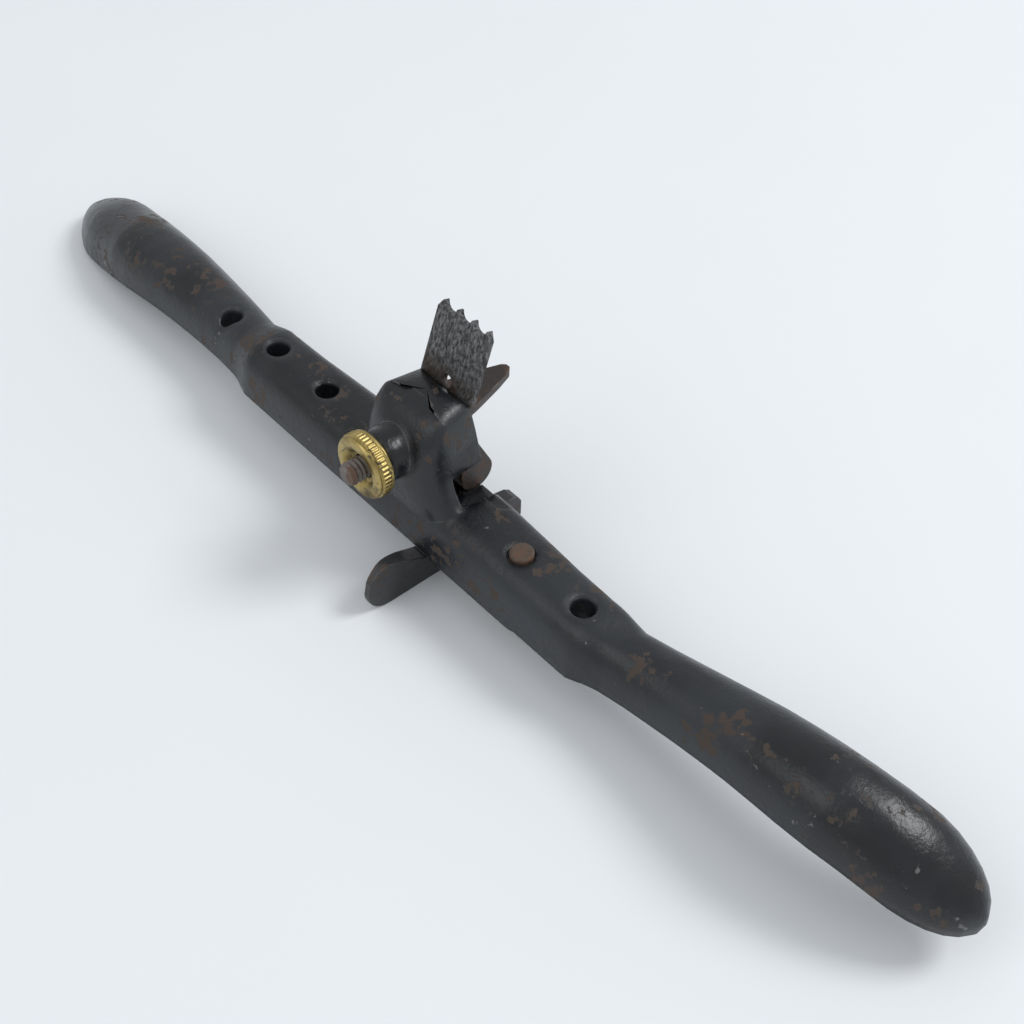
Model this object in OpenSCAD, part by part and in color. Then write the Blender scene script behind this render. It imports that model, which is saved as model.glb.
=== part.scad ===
// Two-handled hand beader of the old spokeshave pattern.
// X runs along the handles, +Y is the cutter side, -Y the nut side, +Z is up.
// The origin lies on the sole plane, midway between the sole's ends and under the row of tapped holes.

/* [Body] */
// Length over both handle tips
overall_len = 286; // [270:1:300]
// Length of the flat sole
sole_len = 104; // [98:1:110]
// Distance from the row of tapped holes to the sole's front edge
sole_front = 7.8; // [7.4:0.1:8.4]
// Distance from the row of tapped holes to the back of the body at the tower
sole_back = 9.6; // [9:0.1:10]
// Distance from the row of tapped holes to the back of the body at the sole's ends
sole_back_end = 7.7; // [7.2:0.1:8.4]
// Height of the arms above the sole
arm_h = 12.2; // [11.6:0.1:12.6]
// Width of the handles at the neck
neck_w = 14.2; // [13:0.2:15.4]
// Width of the handles at the grip
grip_w = 19.8; // [18:0.2:22]
// Thickness of the hollow handles' wall
wall = 2.6; // [2.2:0.1:3]
// How far the handles sweep back at the grip
sweep = 4.3; // [2:0.1:6]
// How far the right handle's grip stands above the left one's
handle_skew = 11.2; // [0:0.2:12]

/* [Tapped holes] */
// Diameter of the tapped holes in the arms
hole_d = 5.3; // [5:0.1:5.6]
// Distance of the inner holes from the middle
hole_inner = 32; // [30:0.5:34]
// Distance of the outer holes from the middle
hole_outer = 50; // [48:0.5:51]
// Distance of the third hole, which only the left handle has
hole_third = 68.5; // [66:0.5:72]

/* [Clamp tower] */
// Height of the tower above the sole
tower_h = 33; // [32.5:0.1:34]
// Width of the tower at the clamp screw
tower_w = 21.8; // [21.4:0.1:23]
// Height of the clamp screw's axis above the sole
screw_z = 22.2; // [21.8:0.1:22.6]
// Diameter of the round boss that the nut bears on
boss_d = 11.6; // [10.6:0.1:12.4]
// Distance of the boss's face in front of the tapped holes
boss_y = 11.3; // [11:0.1:12]

/* [Cutter] */
// Width of the cutter
cutter_w = 15.5; // [14.8:0.1:15.6]
// Thickness of the cutter
cutter_t = 1.5; // [1.2:0.1:1.8]
// Length of the cutter
cutter_len = 50.8; // [48:0.2:54]
// How far the cutter leans back
cutter_lean = 18.4; // [16:0.2:19]
// How far the cutter stands out of the sole
cutter_out = 1.2; // [0.4:0.1:1.5]
// Number of flutes in the cutter's upper end
flutes = 3; // [2:1:4]
// Diameter of the cutter's small hole
cutter_hole_d = 2.8; // [2.4:0.1:3.2]

/* [Clamp] */
// Diameter of the clamp screw
stud_d = 5.2; // [5:0.1:5.4]
// Pitch of the clamp screw's thread
pitch = 1.06; // [0.9:0.02:1.27]
// Diameter of the brass nut
nut_d = 14.6; // [13.6:0.1:15.4]
// Length of the brass nut
nut_len = 4.7; // [4.4:0.1:5.2]
// How far the clamp screw stands out of the nut
stud_out = 3.1; // [2:0.1:4]
// How far the clamp's tail reaches behind the tapped holes
tail_y = 24.2; // [20:0.1:26]

/* [Fence] */
// Depth of the fence below the sole
fence_depth = 9.1; // [8.6:0.1:10]
// Distance of the fence's flat side from the middle of the cutter
fence_x = 10.1; // [9.8:0.1:11]
// Radius of the fence's curved side
fence_r = 100; // [80:1:140]
// Thickness of the fence at its middle
fence_t = 4.5; // [4:0.1:5.4]
// Thickness of the fence's foot
foot_t = 3; // [2.6:0.1:3.4]
// Width of the fence's foot
foot_w = 13; // [12:0.2:14]
// Diameter of the fence screw's head
head_d = 9.4; // [8.6:0.1:10]

/* [Hidden] */

$fn = 96;
eps = 0.01;
run_gap = 0.05;
side_gap = 0.3;
half = overall_len / 2;
sole_half = sole_len / 2;
grip_len = half - sole_half;
tan_lean = tan(cutter_lean);

// Round end of each handle, as a share of the handle's length
cap_from = 0.82;
cap_min = 0.14;
tip_skew = 1.6;

// Height at which the cutter's front face meets the tower's back
seat_z = 30.9;
seat_y = 6.9;
function bed_y(z) = seat_y + (z - seat_z) * tan_lean;
cutter_back = cutter_t / cos(cutter_lean);

// A smooth curve through a few [place, value] pairs
function slope(p, i) =
    i == 0 || i == len(p) - 1 ? 0 : (p[i + 1][1] - p[i - 1][1]) / (p[i + 1][0] - p[i - 1][0]);
function span(p, t, i = 0) = i >= len(p) - 2 || t < p[i + 1][0] ? i : span(p, t, i + 1);
function hermite(p, t, i) =
    let (w = p[i + 1][0] - p[i][0], u = min(1, max(0, (t - p[i][0]) / w)))
    (2 * u ^ 3 - 3 * u ^ 2 + 1) * p[i][1] + (u ^ 3 - 2 * u ^ 2 + u) * w * slope(p, i)
    + (3 * u ^ 2 - 2 * u ^ 3) * p[i + 1][1] + (u ^ 3 - u ^ 2) * w * slope(p, i + 1);
function curve(p, t) = hermite(p, t, span(p, t));
function smooth(t) = let (u = min(1, max(0, t))) u * u * (3 - 2 * u);

// A solid skinned over rings that all have the same number of points, with a point closing each end
module skin(rings, first_tip, last_tip) {
    n = len(rings[0]);
    m = len(rings);
    points = concat([for (r = rings) each r], [first_tip, last_tip]);
    sides = [for (i = [0 : m - 2], j = [0 : n - 1])
        let (a = i * n + j, b = i * n + (j + 1) % n)
        each [[a, a + n, b], [b, a + n, b + n]]];
    start = [for (j = [0 : n - 1]) [n * m, j, (j + 1) % n]];
    finish = [for (j = [0 : n - 1]) [n * m + 1, n * (m - 1) + (j + 1) % n, n * (m - 1) + j]];
    polyhedron(points = points, faces = concat(sides, start, finish), convexity = 6);
}

// The body is a run of sections across X: f is the place along a handle, 0 at the sole's end and 1 at the tip
function handle_f(x) = max(0, (abs(x) - sole_half) / grip_len);
function cap(f) = f <= cap_from ? 1 : max(cap_min, sqrt(max(0, 1 - ((f - cap_from) / (1 - cap_from)) ^ 2)));
function back_at(x) = curve([[0, sole_back], [0.35, sole_back], [1, sole_back_end]], abs(x) / sole_half);
function half_w(x) =
    let (f = handle_f(x), end = (sole_front + sole_back_end) / 2, n = neck_w / 2, g = grip_w / 2)
    f == 0 ? (sole_front + back_at(x)) / 2
    : cap(f) * curve([[0, end], [0.02, end], [0.09, n], [0.2, n * 1.08], [0.5, g * 0.94], [0.66, g], [1, g]], f);
function mid_y(x) =
    let (f = handle_f(x))
    f == 0 ? (back_at(x) - sole_front) / 2
    : curve([[0, 0], [0.02, 0], [0.09, sweep * 0.3], [0.2, sweep * 0.6], [0.4, sweep * 0.85],
             [0.66, sweep], [0.8, sweep * 1.4], [1, sweep * 1.8]], f)
      + (x < 0 ? 0 : tip_skew) * smooth((f - 0.6) / 0.4);
function depth(x) =
    let (f = handle_f(x))
    (0.3 + 0.7 * cap(f)) * curve([[0, arm_h], [0.02, arm_h], [0.1, arm_h - 1.7], [0.2, arm_h - 2.1],
                                  [0.35, arm_h - 2.1], [0.66, arm_h - 0.2], [0.8, arm_h - 0.7],
                                  [1, arm_h - 2.7]], f);
function base_z(x) =
    let (f = handle_f(x), k = handle_skew / 2 * (x < 0 ? -1 : 1))
    curve([[0, 0], [0.02, 0], [0.2, 0.9], [0.35, 1.9], [0.5, 2.5], [0.66, 1.9], [0.8, -0.7], [1, -4]], f)
    + k * curve([[0, 0], [0.02, 0], [0.2, 0.23], [0.5, 0.75], [0.66, 1], [0.8, 1.1], [1, 0.9]], f);
function hollow(x) =
    let (f = handle_f(x)) smooth((f - 0.23) / 0.1) * smooth((0.96 - f) / 0.1);
function front_power(x) = curve([[0, 2.9], [0.02, 2.9], [0.12, 2.3]], handle_f(x));
function back_power(x) = curve([[0, 4.6], [0.02, 4.6], [0.12, 2.3]], handle_f(x));

outer_steps = 24;
inner_steps = 12;
function arch(x, w, h, t) =
    let (c = cos(t), s = max(0, sin(t)), p = c < 0 ? front_power(x) : back_power(x))
    [x, mid_y(x) + w * sign(c) * abs(c) ^ (2 / p), base_z(x) + h * s ^ (2 / p)];
function section(x) =
    let (w = half_w(x), h = depth(x), wi = max(0.35 * w, w - wall), hi = hollow(x) * (h - wall))
    concat([for (i = [0 : outer_steps]) arch(x, w, h, 180 * i / outer_steps)],
           [for (i = [inner_steps : -1 : 0]) arch(x, wi, hi, 180 * i / inner_steps)]);

sole_rings = [for (i = [-5 : 5]) i / 5 * sole_half];
grip_rings = concat([0.02, 0.045, 0.07, 0.1], [for (i = [1 : 10]) 0.1 + 0.072 * i],
                    [for (i = [1 : 7]) cap_from + (1 - cap_from) * sin(90 * i / 7)]);
right_rings = [for (f = grip_rings) sole_half + f * grip_len];
left_rings = [for (i = [len(right_rings) - 1 : -1 : 0]) -right_rings[i]];
body_x = concat(left_rings, sole_rings, right_rings);

module shell_body() {
    nose = 0.4;
    skin([for (x = body_x) section(x)],
         [-half - nose, mid_y(-half), base_z(-half) + depth(-half) / 2],
         [half + nose, mid_y(half), base_z(half) + depth(half) / 2]);
}

// The tower is a run of level sections with straight sides, a round front and a flat back
tower_wall = 2;
tower_foot = 6;
side_y = -1;
front_steps = 16;
function tower_side(z) =
    curve([[6, 15], [12, 15], [14, 13.6], [16, 12.5], [18.6, 11.6], [screw_z, tower_w / 2],
           [25, tower_w / 2 - 0.3], [27.5, tower_w / 2 - 0.7], [29.5, tower_w / 2 - 1.3],
           [31, tower_w / 2 - 1.9], [32.3, tower_w / 2 - 3.6], [tower_h, tower_w / 2 - 6.4]], z);
function tower_tuck(z) = curve([[6, 0], [18, 0], [27, 1.4], [31, 1.4], [tower_h, 0.8]], z);
function tower_front(z) =
    curve([[6, 6.4], [9, 7.2], [12, 7.7], [16, 8], [20, 7.9], [24, 7.3], [28, 5.6], [31, 3], [tower_h, -0.6]], z);
function tower_back(z) = curve([[6, seat_y], [seat_z, seat_y], [tower_h, seat_y - 2.2]], z);
function tower_loop(z, side, front, back, tuck) =
    concat([[-side + tuck, back, z]],
           [for (i = [0 : front_steps])
               let (t = 180 * i / front_steps, c = -cos(t), s = max(0, sin(t)))
               [side * sign(c) * abs(c) ^ 0.65, side_y - (front + side_y) * s ^ 0.65, z]],
           [[side - tuck, back, z]]);
tower_z = [6, 9, 12, 14, 16, 18.6, 21, 23.5, 25.4, 27, 28.5, 30, 31, 32, 32.6, tower_h];
module tower() {
    skin([for (z = tower_z) tower_loop(z, tower_side(z), tower_front(z), tower_back(z), tower_tuck(z))],
         [0, 0, tower_foot - 0.5],
         [0, tower_back(tower_h) - 2.5, tower_h + 0.3]);
}

// The tower is hollow behind its wall, up to a rounded ceiling
hollow_low = 11;
hollow_side = 9.15;
hollow_z = [hollow_low, 14, 17, 20, 22.5, 24.6, 25.6, 26.2];
function hollow_close(z) = curve([[hollow_low, 1], [24.6, 1], [26.2, 0.7]], z);
module tower_hollow() {
    skin([for (z = hollow_z)
             tower_loop(z, hollow_side * hollow_close(z), (tower_front(z) - tower_wall) * hollow_close(z), 12, 0)],
         [0, 0, hollow_low - 0.2],
         [0, 2, 26.5]);
}

// A row of tapped holes right through the arms, with a small countersink at the top
hole_x = [-hole_third, -hole_outer, -hole_inner, hole_inner, hole_outer];
function arm_top(x) = base_z(x) + depth(x);
module tapped_hole(x) {
    translate([x, 0, -6]) cylinder(d = hole_d, h = 30);
    translate([x, 0, arm_top(x) - 0.5]) cylinder(d1 = hole_d, d2 = hole_d + 3, h = 1.5);
}

// Profiles drawn in Y and Z and run along X
module along_x(width, x = 0) {
    translate([x - width / 2, 0, 0]) rotate([90, 0, 90]) linear_extrude(width) children();
}

// The slot for the cutter: its front wall is the bed, and behind it the mouth is open for shavings
mouth_w = cutter_w + 2 * side_gap;
throat_y = 4.7;
throat_z = 7.5;
yoke_half = 8.8;
yoke_room = 2 * (yoke_half + side_gap);
module cutter_slot() {
    along_x(mouth_w) polygon([[bed_y(-1), -1], [1.6, -1], [throat_y, throat_z], [40, throat_z], [40, 40],
                              [bed_y(40), 40]]);
}
module yoke_slot() {
    along_x(yoke_room) polygon([[throat_y, throat_z], [40, throat_z], [40, 24.6], [throat_y, 24.6]]);
}

// Beside the tower the arms are let down round the clamp's cheeks, and the tower's walls stop above them
window_top = 18.5;
window_y = -1;
window_x = 8.9;
pocket_r = 4;
pocket_x = 11.3;
pocket_y = 3;
pocket_z = 8.2;
ledge_y = 4.7;
ledge_end = 20.5;
ledge_drop = 0.7;
module side_opening() {
    translate([window_x, window_y, arm_h + 0.05]) cube([12, 20, window_top - arm_h - 0.05]);
    translate([pocket_x, pocket_y, pocket_z]) cylinder(r = pocket_r, h = 6);
    translate([window_x - 1, pocket_y, pocket_z]) cube([pocket_x + pocket_r - window_x + 1, 20, 6]);
    translate([window_x, ledge_y, arm_h - ledge_drop]) cube([ledge_end - window_x - 2, 20, 3]);
    translate([ledge_end - 2, ledge_y + 2, arm_h - ledge_drop]) cylinder(r = 2, h = 3);
    translate([ledge_end - 2 - eps, ledge_y + 2, arm_h - ledge_drop]) cube([2, 20, 3]);
}

module body() {
    color("#23262b") difference() {
        union() {
            shell_body();
            tower();
            translate([0, -boss_y, screw_z]) rotate([-90, 0, 0]) cylinder(d = boss_d, h = boss_y - 5.6);
        }
        for (x = hole_x) tapped_hole(x);
        translate([0, -boss_y - 1, screw_z]) rotate([-90, 0, 0])
            cylinder(d = stud_d + 2 * run_gap, h = boss_y);
        tower_hollow();
        cutter_slot();
        yoke_slot();
        side_opening();
        mirror([1, 0, 0]) side_opening();
    }
}

// The cutter is drawn flat, with x across it and y up along it, then leaned back against its bed
flute_pitch = 4.43;
flute_r = 2.05;
corner = 1.1;
flute_rise = 1;
module cutter_outline() {
    difference() {
        polygon([[-cutter_w / 2, corner * 1.7], [-cutter_w / 2 + corner, 0], [cutter_w / 2 - corner, 0],
                 [cutter_w / 2, corner * 1.7], [cutter_w / 2, cutter_len - corner * 1.7],
                 [cutter_w / 2 - corner, cutter_len], [-cutter_w / 2 + corner, cutter_len],
                 [-cutter_w / 2, cutter_len - corner * 1.7]]);
        for (i = [0 : flutes - 1])
            translate([(i - (flutes - 1) / 2) * flute_pitch, cutter_len + flute_r * 0.2]) circle(r = flute_r);
        for (i = [0 : flutes - 2])
            translate([(i - (flutes - 2) / 2) * flute_pitch * 1.4, -flute_r * 0.4]) circle(r = flute_r * 1.3);
        for (y = [15.4, cutter_len - 15.4]) translate([0, y]) circle(d = cutter_hole_d);
    }
}
module cutter() {
    foot = -cutter_out;
    color("#6f6c68") translate([0, bed_y(foot) , foot]) rotate([-cutter_lean, 0, 0])
        translate([0, cutter_t, 0]) rotate([90, 0, 0]) linear_extrude(cutter_t) cutter_outline();
}

// The clamp yoke goes round the cutter: a bar in front of it carries the clamp screw, and two cheeks
// join the bar to the jaw behind it
bar_front = -4.4;
bar_back = -1.4;
bar_corner = -2.2;
bar_half = 5.6;
arm_low = 19.2;
arm_high = 23.6;
cheek_t = 0.9;
cheek_front = 5.2;
cheek_low = 7.9;
jaw_back = 8.9;
jaw_top = 6.6;
neck_half = 5.5;
tail_low = 25.2;
tail_t = 1.8;
tail_tip = 1.3;
heel_r = 4.2;
function cutter_rear(z) = bed_y(z) + cutter_back;
module cheek_outline() {
    polygon([[bar_corner, arm_low], [cheek_front, arm_low], [cheek_front, cheek_low + 1.4],
             [cheek_front + 1.4, cheek_low], [8, cheek_low], [8, 12], [jaw_back, 18.4], [jaw_top + 0.8, 22],
             [jaw_top, arm_high], [bar_corner, arm_high]]);
    hull() {
        translate([8.1, cheek_low + heel_r]) circle(r = heel_r);
        translate([6.6, arm_low + 0.4]) circle(r = 2.1);
    }
}
module jaw_outline() {
    polygon([[cutter_rear(arm_low), arm_low], [cutter_rear(arm_high), arm_high], [jaw_top, arm_high],
             [jaw_top + 0.8, 22], [jaw_back - 0.6, arm_low]]);
}
module neck_outline() {
    top = tail_low + tail_t;
    polygon([[cutter_rear(21.5), 21.5], [cutter_rear(top), top], [jaw_back + 0.6, top], [jaw_back + 0.6, tail_low],
             [jaw_top + 1, 21.5]]);
}
module clamp_yoke() {
    color("#3a2f2a") {
        difference() {
            union() {
                for (s = [-1, 1]) along_x(cheek_t, s * (yoke_half - cheek_t / 2)) cheek_outline();
                along_x(2 * yoke_half - cheek_t) intersection() {
                    cheek_outline();
                    translate([cheek_front, 0]) square([20, arm_low + eps]);
                }
                along_x(2 * yoke_half - 2 * cheek_t + eps) jaw_outline();
                along_x(2 * neck_half) neck_outline();
                translate([0, 0, arm_low]) linear_extrude(arm_high - arm_low)
                    polygon([[-yoke_half, bar_back], [-yoke_half, bar_corner], [-bar_half, bar_front],
                             [bar_half, bar_front], [yoke_half, bar_corner], [yoke_half, bar_back]]);
                translate([0, 0, tail_low]) linear_extrude(tail_t)
                    polygon([[-neck_half, jaw_back - 0.5], [-4.9, 11.4], [-2.7, 19.4], [-tail_tip, tail_y - 0.8],
                             [-tail_tip + 0.8, tail_y], [tail_tip - 0.8, tail_y], [tail_tip, tail_y - 0.8],
                             [2.7, 19.4], [4.9, 11.4], [neck_half, jaw_back - 0.5]]);
            }
            translate([0, bar_front - 1, screw_z]) rotate([-90, 0, 0])
                cylinder(d = stud_d, h = bar_back - bar_front + 2);
        }
    }
}

// Thread ridges as rings: a saw-tooth profile turned round the screw's axis
function thread(d, from, to) =
    let (n = floor((to - from) / pitch), depth = 0.42)
    [for (i = [0 : n - 1]) each [[d / 2 - depth, from + i * pitch], [d / 2, from + (i + 0.5) * pitch]]];

stud_front = boss_y + nut_len + stud_out;
module clamp_stud() {
    length = stud_front + bar_back;
    plain = 6.2;
    color("#6a5f56") translate([0, bar_back, screw_z]) rotate([90, 0, 0]) rotate_extrude()
        polygon(concat([[0, 0], [stud_d / 2, 0], [stud_d / 2, plain]],
                       thread(stud_d, plain + 0.3, length - 0.6),
                       [[stud_d / 2 - 0.5, length], [0, length]]));
}

// The nut has a dished face, a knurled band between two beads and a short hub
knurls = 46;
module thumb_nut() {
    r = nut_d / 2;
    color("#b08d3c") translate([0, -boss_y - run_gap, screw_z]) rotate([90, 0, 0]) difference() {
        rotate_extrude() polygon([
            [stud_d / 2 + run_gap, 0], [r - 1.5, 0], [r - 1.4, 0.5], [r - 0.5, 0.6], [r - 0.2, 0.9],
            [r - 0.5, 1.3], [r - 0.5, 1.5], [r, 1.7], [r, nut_len - 1.3], [r - 0.5, nut_len - 1.1],
            [r - 0.5, nut_len - 0.9], [r - 0.25, nut_len - 0.6], [r - 0.6, nut_len - 0.15], [r - 0.9, nut_len],
            [r - 2.4, nut_len], [r - 3, nut_len - 0.5], [stud_d / 2 + 0.9, nut_len - 1.5],
            [stud_d / 2 + run_gap, nut_len - 1.5]]);
        for (i = [0 : knurls - 1]) rotate([0, 0, 360 / knurls * i])
            translate([r + 0.12, 0, 1.5]) cylinder(r = 0.34, h = nut_len - 2.6, $fn = 16);
    }
}

// The fence: a rib across the sole, flat to the right and curved to the left, with a slotted foot
tongue_r = 5.7;
tongue_y = -16.9;
nub_y = 20;
foot_end = 41;
slot_in = 1;
slot_out = 4.4;
slot_w = hole_d + 0.5;
gullet_y = [-6.6, 1.2];
gullet_z = 3;
rib_top = [[-22.6, -3.4], [-22, -0.6], [-20.8, 0.8], [-17.9, 2.2], [-13.5, 1.1], [-8, -1.7], [-6.6, -2.2]];
module rib_outline() {
    polygon(concat([for (i = [0 : 12]) let (t = 90 * i / 12)
                       [tongue_y - tongue_r * sin(t), -fence_depth + tongue_r * (1 - cos(t))]],
                   [for (i = [1 : 24]) let (y = -22.6 + 16 * i / 24) [y, curve(rib_top, y)]],
                   [[1.2, -2.2], [1.2, 0], [foot_w / 2, 0], [9.5, -0.5], [nub_y - 2.2, -0.8], [nub_y - 0.8, -1.6],
                    [nub_y, -3], [nub_y, -7.2], [nub_y - 1.9, -fence_depth]]));
}
module fence() {
    color("#2c2c2f") difference() {
        union() {
            intersection() {
                along_x(30, fence_x - 15) rib_outline();
                translate([fence_x - fence_t + fence_r, 3, -20]) cylinder(r = fence_r, h = 40, $fn = 200);
            }
            translate([fence_x - 1, -foot_w / 2, -foot_t])
                cube([foot_end - foot_w / 2 - fence_x + 1, foot_w, foot_t]);
            translate([foot_end - foot_w / 2, 0, -foot_t]) cylinder(d = foot_w, h = foot_t);
        }
        for (x = [-slot_out, slot_in]) translate([hole_inner + x, 0, -foot_t - 1])
            cylinder(d = slot_w, h = foot_t + 2);
        translate([hole_inner - slot_out, -slot_w / 2, -foot_t - 1]) cube([slot_out + slot_in, slot_w, foot_t + 2]);
        translate([-1, gullet_y[0], -gullet_z]) cube([fence_x, gullet_y[1] - gullet_y[0], gullet_z + 4]);
        translate([fence_x, -30, -1 - fence_depth]) cube([6, 30 - foot_w / 2 - eps, 30]);
        translate([fence_x, foot_w / 2 + eps, -1 - fence_depth]) cube([6, 30, 30]);
        translate([fence_x, -30, -20 - foot_t]) cube([6, 60, 20]);
    }
}

// The fence screw comes up through the foot, and its end stands a little proud of the arm
screw_out = 0.9;
head_h = 2.8;
module fence_screw() {
    r = hole_d / 2 - run_gap;
    length = foot_t + arm_h + screw_out;
    color("#5d4b40") difference() {
        translate([hole_inner, 0, -foot_t]) rotate_extrude()
            polygon(concat([[0, -head_h], [head_d / 2 - 0.4, -head_h], [head_d / 2, -head_h + 0.4],
                            [head_d / 2, 0], [r, 0], [r, foot_t + 0.4]],
                           thread(2 * r, foot_t + 0.6, length - 1),
                           [[r, length - 0.9], [r, length - 0.35], [r - 0.35, length], [0, length]]));
        translate([hole_inner - head_d, -0.6, -foot_t - head_h - 1]) cube([2 * head_d, 1.2, 2.2]);
    }
}

body();
cutter();
clamp_yoke();
clamp_stud();
thumb_nut();
fence();
fence_screw();
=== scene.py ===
import bpy
from mathutils import Matrix, Vector


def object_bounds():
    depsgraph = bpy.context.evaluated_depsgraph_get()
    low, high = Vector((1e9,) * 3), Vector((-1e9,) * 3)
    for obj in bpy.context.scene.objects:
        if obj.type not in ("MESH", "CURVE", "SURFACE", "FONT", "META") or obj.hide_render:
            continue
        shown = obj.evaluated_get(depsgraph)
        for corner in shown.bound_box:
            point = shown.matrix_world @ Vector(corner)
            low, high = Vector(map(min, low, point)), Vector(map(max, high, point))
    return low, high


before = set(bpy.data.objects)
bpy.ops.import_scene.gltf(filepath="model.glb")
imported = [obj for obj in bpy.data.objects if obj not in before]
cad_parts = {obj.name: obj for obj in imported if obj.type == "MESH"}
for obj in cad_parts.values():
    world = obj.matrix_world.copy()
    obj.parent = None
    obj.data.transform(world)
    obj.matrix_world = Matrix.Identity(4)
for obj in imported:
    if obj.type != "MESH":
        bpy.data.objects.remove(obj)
startLow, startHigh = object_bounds()
print("frame loaded")


# Short ways to add and join nodes in one tree. An input named n and a number is a socket given by its place.
class Shader:
    def __init__(self, tree):
        self.tree = tree

    def add(self, kind, settings=None, **inputs):
        node = self.tree.nodes.new(kind)
        for key, value in (settings or {}).items():
            setattr(node, key, value)
        for key, value in inputs.items():
            self.feed(node, int(key[1:]) if key[1:].isdigit() else key.replace("_", " "), value)
        return node

    def feed(self, node, socket, value):
        target = node.inputs[socket]
        if isinstance(value, bpy.types.NodeSocket):
            self.tree.links.new(value, target)
        else:
            target.default_value = value

    def math(self, operation, first, second):
        return self.add("ShaderNodeMath", {"operation": operation}, n0=first, n1=second).outputs[0]

    def ramp(self, value, low, high):
        node = self.add("ShaderNodeMapRange", {"interpolation_type": "SMOOTHSTEP"},
                        Value=value, From_Min=low, From_Max=high)
        return node.outputs[0]

    def mix(self, share, first, second):
        return self.add("ShaderNodeMix", {"data_type": "RGBA"}, n0=share, n6=first, n7=second).outputs[2]

    def noise(self, vector, scale, detail=5.0, rough=0.55):
        node = self.add("ShaderNodeTexNoise", None,
                        Vector=vector, Scale=scale, Detail=detail, Roughness=rough)
        return node.outputs[0]

    def group(self, tree, **inputs):
        return self.add("ShaderNodeGroup", {"node_tree": tree}, **inputs).outputs[0]


cloudDetail = 6.0

# The values of the three shared effects
patchLook = {"fineness": 4.5, "fineDetail": 6.0, "fineRough": 0.6, "coarseDetail": 3.0, "softness": 0.04}
wearLook = {"samples": 6, "turnLow": 0.02, "turnHigh": 0.16, "noise": 420.0, "low": 0.38, "high": 0.62}
grainLook = {"fineness": 5.0, "fineDetail": 4.0, "coarseDetail": 2.0, "fineShare": 0.45}


def makeGroup(name, inputs, output, build):
    tree = bpy.data.node_groups.new(name, "ShaderNodeTree")
    for socket in inputs:
        kind = "NodeSocketVector" if socket == "Vector" else "NodeSocketFloat"
        tree.interface.new_socket(socket, in_out="INPUT", socket_type=kind)
    tree.interface.new_socket(output, in_out="OUTPUT", socket_type="NodeSocketFloat")
    made = Shader(tree)
    entry = made.add("NodeGroupInput")
    leave = made.add("NodeGroupOutput")
    tree.links.new(build(made, entry.outputs), leave.inputs[0])
    return tree


# Patches: a fine noise times a coarse one, cut off at a level, so that small spots gather in clouds
def buildPatch(s, given):
    fineScale = s.math("MULTIPLY", given["Scale"], patchLook["fineness"])
    fine = s.noise(given["Vector"], fineScale, patchLook["fineDetail"], patchLook["fineRough"])
    coarse = s.noise(given["Vector"], given["Scale"], patchLook["coarseDetail"])
    top = s.math("ADD", given["Level"], patchLook["softness"])
    return s.ramp(s.math("MULTIPLY", fine, coarse), given["Level"], top)


# Worn edges: how far a rounded normal turns from the true one, times a noise cut off on both sides
def buildWear(s, given):
    rounded = s.add("ShaderNodeBevel", {"samples": wearLook["samples"]}, Radius=given["Radius"]).outputs[0]
    true = s.add("ShaderNodeNewGeometry").outputs["Normal"]
    same = s.add("ShaderNodeVectorMath", {"operation": "DOT_PRODUCT"}, n0=rounded, n1=true).outputs["Value"]
    turned = s.ramp(s.math("SUBTRACT", 1.0, same), wearLook["turnLow"], wearLook["turnHigh"])
    broken = s.ramp(s.noise(given["Vector"], wearLook["noise"]), wearLook["low"], wearLook["high"])
    return s.math("MULTIPLY", turned, broken)


# Cast grain: a coarse noise plus a share of a fine one
def buildGrain(s, given):
    coarse = s.noise(given["Vector"], given["Scale"], grainLook["coarseDetail"])
    fineScale = s.math("MULTIPLY", given["Scale"], grainLook["fineness"])
    fine = s.noise(given["Vector"], fineScale, grainLook["fineDetail"])
    return s.math("ADD", coarse, s.math("MULTIPLY", fine, grainLook["fineShare"]))


patchMask = makeGroup("patchMask", ("Vector", "Scale", "Level"), "Mask", buildPatch)
edgeWear = makeGroup("edgeWear", ("Vector", "Radius"), "Mask", buildWear)
castGrain = makeGroup("castGrain", ("Vector", "Scale"), "Height", buildGrain)


def startMaterial(name):
    made = bpy.data.materials.new(name)
    made.use_nodes = True
    s = Shader(made.node_tree)
    return made, s, made.node_tree.nodes["Principled BSDF"], s.add("ShaderNodeTexCoord").outputs["Object"]


# The bump stands on a normal that is rounded over the mesh's facets
def bumped(s, height, strength, distance, soft=0.0004):
    rounded = s.add("ShaderNodeBevel", {"samples": 8}, Radius=soft).outputs[0]
    return s.add("ShaderNodeBump", None, Height=height, Strength=strength, Distance=distance,
                 Normal=rounded).outputs[0]


def finishSurface(s, base, colour, metallic, rough, normal):
    s.feed(base, "Base Color", colour)
    s.feed(base, "Metallic", metallic)
    s.feed(base, "Roughness", rough)
    s.feed(base, "Normal", normal)


japanLook = {
    "deep": (0.005, 0.006, 0.008, 1), "faded": (0.017, 0.020, 0.025, 1), "rust": (0.060, 0.040, 0.028, 1),
    "bare": (0.20, 0.20, 0.20, 1), "scuff": (0.16, 0.155, 0.15, 1), "clouds": 38.0, "fade": (0.40, 0.68),
    "rustScale": 95.0, "rustLevel": 0.315, "rustShare": 0.8,
    "scuffScale": 150.0, "scuffLevel": 0.40, "scuffShare": 0.75,
    "wearRadius": 0.0007, "wearShare": 0.65, "wearMetal": 0.6,
    "rough": 0.24, "fadedRough": 0.16, "rustRough": 0.35,
    "grain": 330.0, "rustDip": 0.5, "bump": 0.35, "bumpDeep": 0.0004, "soft": 0.003,
}


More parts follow.
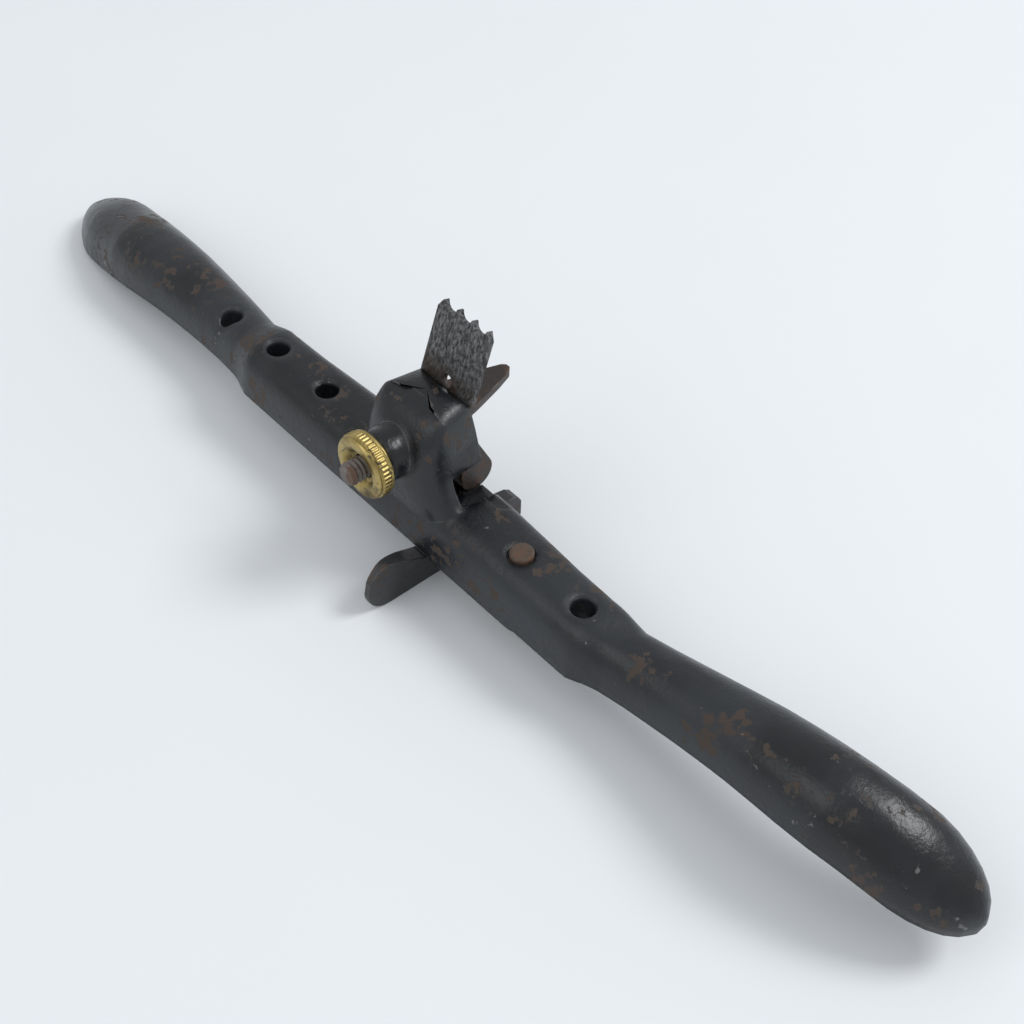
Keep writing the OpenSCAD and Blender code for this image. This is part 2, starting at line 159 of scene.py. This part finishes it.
# Worn japan: black faded in clouds, brown rust in patches, pale scuffs, and bare iron at the edges
def paintJapan(look):
    made, s, base, place = startMaterial("wornJapan")
    faded = s.ramp(s.noise(place, look["clouds"], cloudDetail), *look["fade"])
    colour = s.mix(faded, look["deep"], look["faded"])
    rust = s.group(patchMask, Vector=place, Scale=look["rustScale"], Level=look["rustLevel"])
    colour = s.mix(s.math("MULTIPLY", rust, look["rustShare"]), colour, look["rust"])
    scuff = s.group(patchMask, Vector=place, Scale=look["scuffScale"], Level=look["scuffLevel"])
    colour = s.mix(s.math("MULTIPLY", scuff, look["scuffShare"]), colour, look["scuff"])
    wear = s.group(edgeWear, Vector=place, Radius=look["wearRadius"])
    colour = s.mix(s.math("MULTIPLY", wear, look["wearShare"]), colour, look["bare"])
    rough = s.math("ADD", s.math("MULTIPLY", faded, look["fadedRough"]), look["rough"])
    rough = s.math("ADD", rough, s.math("MULTIPLY", rust, look["rustRough"]))
    grain = s.group(castGrain, Vector=place, Scale=look["grain"])
    height = s.math("SUBTRACT", grain, s.math("MULTIPLY", rust, look["rustDip"]))
    finishSurface(s, base, colour, s.math("MULTIPLY", wear, look["wearMetal"]), rough,
                  bumped(s, height, look["bump"], look["bumpDeep"], look["soft"]))
    return made


steelLook = {
    "dark": (0.045, 0.045, 0.047, 1), "light": (0.24, 0.24, 0.24, 1), "stain": (0.045, 0.026, 0.014, 1),
    "drawn": (1.0, 1.0, 0.35), "pits": 1500.0, "pitRough": 0.75, "pitEdges": (0.38, 0.66),
    "stainNoise": 160.0, "stainEdges": (0.38, 0.60), "stainHeights": (0.031, 0.039),
    "stainShare": 0.85, "metal": 0.85, "stainMetal": 0.5, "rough": 0.62, "lightRough": 0.22,
    "bump": 0.5, "bumpDeep": 0.0002,
}


# Pitted steel: a noise drawn out along the blade parts light metal from dark pits, browner near the tower
def paintSteel(look):
    made, s, base, place = startMaterial("pittedSteel")
    drawn = s.add("ShaderNodeMapping", None, Vector=place, Scale=look["drawn"]).outputs[0]
    pits = s.ramp(s.noise(drawn, look["pits"], cloudDetail, look["pitRough"]), *look["pitEdges"])
    colour = s.mix(pits, look["dark"], look["light"])
    height = s.add("ShaderNodeSeparateXYZ", None, Vector=place).outputs["Z"]
    low = s.math("SUBTRACT", 1.0, s.ramp(height, *look["stainHeights"]))
    stain = s.math("MULTIPLY", low, s.ramp(s.noise(place, look["stainNoise"]), *look["stainEdges"]))
    colour = s.mix(s.math("MULTIPLY", stain, look["stainShare"]), colour, look["stain"])
    finishSurface(s, base, colour,
                  s.math("SUBTRACT", look["metal"], s.math("MULTIPLY", stain, look["stainMetal"])),
                  s.math("SUBTRACT", look["rough"], s.math("MULTIPLY", pits, look["lightRough"])),
                  bumped(s, pits, look["bump"], look["bumpDeep"]))
    return made


brassLook = {
    "bright": (0.44, 0.34, 0.13, 1), "dull": (0.17, 0.125, 0.05, 1), "grime": (0.045, 0.030, 0.018, 1),
    "clouds": 190.0, "dulling": (0.42, 0.66),
    "grimeScale": 260.0, "grimeLevel": 0.30, "grimeShare": 0.8, "grimeMetal": 0.6,
    "rough": 0.30, "dullRough": 0.2, "grain": 900.0, "bump": 0.2, "bumpDeep": 0.0002,
}


# Tarnished brass: bright metal dulled in clouds, and grime in fine spots
def paintBrass(look):
    made, s, base, place = startMaterial("tarnishedBrass")
    dull = s.ramp(s.noise(place, look["clouds"]), *look["dulling"])
    colour = s.mix(dull, look["bright"], look["dull"])
    grime = s.group(patchMask, Vector=place, Scale=look["grimeScale"], Level=look["grimeLevel"])
    colour = s.mix(s.math("MULTIPLY", grime, look["grimeShare"]), colour, look["grime"])
    finishSurface(s, base, colour,
                  s.math("SUBTRACT", 1.0, s.math("MULTIPLY", grime, look["grimeMetal"])),
                  s.math("ADD", look["rough"], s.math("MULTIPLY", dull, look["dullRough"])),
                  bumped(s, s.group(castGrain, Vector=place, Scale=look["grain"]), look["bump"],
                         look["bumpDeep"]))
    return made


ironLook = {
    "clouds": 120.0, "cloudEdges": (0.35, 0.70), "cloudShare": 0.6, "cloudLift": 2.2,
    "rustScale": 130.0, "wearRadius": 0.0005,
    "wearShare": 0.7, "rustRough": 0.2, "grain": 520.0, "bump": 0.4, "bumpDeep": 0.0003,
}
yokeLook = {"tone": (0.022, 0.015, 0.012), "rust": (0.075, 0.040, 0.024, 1), "edge": (0.25, 0.22, 0.19, 1),
            "level": 0.26, "rough": 0.42}
studLook = {"tone": (0.10, 0.085, 0.075), "rust": (0.10, 0.055, 0.035, 1), "edge": (0.36, 0.33, 0.30, 1),
            "level": 0.27, "rough": 0.45}
fenceLook = {"tone": (0.020, 0.021, 0.023), "rust": (0.060, 0.038, 0.026, 1), "edge": (0.22, 0.20, 0.18, 1),
             "level": 0.31, "rough": 0.40}
screwLook = {"tone": (0.055, 0.036, 0.026), "rust": (0.10, 0.055, 0.034, 1), "edge": (0.20, 0.16, 0.13, 1),
             "level": 0.25, "rough": 0.55}


# Brown iron: a tone lifted in clouds, turned towards rust in patches, with metal showing at worn edges
def paintIron(name, own):
    look = {**ironLook, **own}
    made, s, base, place = startMaterial(name)
    clouds = s.ramp(s.noise(place, look["clouds"], cloudDetail), *look["cloudEdges"])
    lifted = [look["cloudLift"] * c for c in look["tone"]] + [1]
    colour = s.mix(s.math("MULTIPLY", clouds, look["cloudShare"]), look["tone"] + (1,), lifted)
    rust = s.group(patchMask, Vector=place, Scale=look["rustScale"], Level=look["level"])
    colour = s.mix(rust, colour, look["rust"])
    wear = s.group(edgeWear, Vector=place, Radius=look["wearRadius"])
    colour = s.mix(s.math("MULTIPLY", wear, look["wearShare"]), colour, look["edge"])
    finishSurface(s, base, colour, s.math("MULTIPLY", wear, look["wearShare"]),
                  s.math("ADD", look["rough"], s.math("MULTIPLY", rust, look["rustRough"])),
                  bumped(s, s.group(castGrain, Vector=place, Scale=look["grain"]), look["bump"],
                         look["bumpDeep"]))
    return made


finishes = {
    "body": paintJapan(japanLook),
    "cutter": paintSteel(steelLook),
    "thumb_nut": paintBrass(brassLook),
    "clamp_yoke": paintIron("brownYoke", yokeLook),
    "clamp_stud": paintIron("rustyStud", studLook),
    "fence": paintIron("wornFence", fenceLook),
    "fence_screw": paintIron("rustyScrew", screwLook),
}
for nodeName, finish in finishes.items():
    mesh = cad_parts[nodeName].data
    for index in range(len(mesh.materials)):
        mesh.materials[index] = finish
print("finishes on")

# The floor is a pale sheet just under the lowest point of the tool
floorLook = {"half": 3.0, "drop": 0.0001, "clouds": 9.0, "detail": 3.0, "first": (0.80, 0.83, 0.86, 1),
             "second": (0.84, 0.865, 0.89, 1), "rough": 0.75, "shine": 0.2}
floorZ = startLow.z - floorLook["drop"]
floorCorners = [(floorLook["half"] * x, floorLook["half"] * y, floorZ)
                for x, y in ((-1, -1), (1, -1), (1, 1), (-1, 1))]
floorMesh = bpy.data.meshes.new("paleFloor")
floorMesh.from_pydata(floorCorners, [], [(0, 1, 2, 3)])
floor = bpy.data.objects.new("paleFloor", floorMesh)
bpy.context.scene.collection.objects.link(floor)
floorFinish, floorShader, floorBase, floorPlace = startMaterial("paleSheet")
floorTone = floorShader.mix(floorShader.noise(floorPlace, floorLook["clouds"], floorLook["detail"]),
                            floorLook["first"], floorLook["second"])
floorShader.feed(floorBase, "Base Color", floorTone)
floorBase.inputs["Roughness"].default_value = floorLook["rough"]
floorBase.inputs["Specular IOR Level"].default_value = floorLook["shine"]
floorMesh.materials.append(floorFinish)

skyLook = {"colour": (0.955, 0.975, 1.0, 1), "strength": 0.64}
world = bpy.data.worlds.new("softSky")
bpy.context.scene.world = world
world.use_nodes = True
sky = world.node_tree.nodes["Background"]
sky.inputs["Color"].default_value = skyLook["colour"]
sky.inputs["Strength"].default_value = skyLook["strength"]


def addLamp(name, place, size, power):
    data = bpy.data.lights.new(name, "AREA")
    data.size = size
    data.energy = power
    lamp = bpy.data.objects.new(name, data)
    lamp.location = place
    lamp.rotation_mode = "QUATERNION"
    lamp.rotation_quaternion = (-Vector(place)).to_track_quat("-Z", "Y")
    bpy.context.scene.collection.objects.link(lamp)


addLamp("keyLamp", (0.55, 0.75, 1.1), 0.5, 8.5)
addLamp("fillLamp", (-0.2, -0.9, 0.9), 0.9, 2.5)

# The camera stands where the photograph was taken from. Its columns are the right, up and backward
# directions and the place
cameraData = bpy.data.cameras.new("photoCamera")
cameraData.sensor_width = 36.0
cameraData.lens = 61.1
cameraData.clip_start = 0.01
cameraData.clip_end = 50.0
camera = bpy.data.objects.new("photoCamera", cameraData)
bpy.context.scene.collection.objects.link(camera)
camera.matrix_world = Matrix((
    (0.6635, -0.5532, 0.5038, 0.2014),
    (0.7479, 0.4688, -0.4702, -0.1612),
    (0.0240, 0.6887, 0.7247, 0.2703),
    (0, 0, 0, 1)))
bpy.context.scene.camera = camera
bpy.context.scene.view_settings.view_transform = "Standard"
print("stage and camera set")
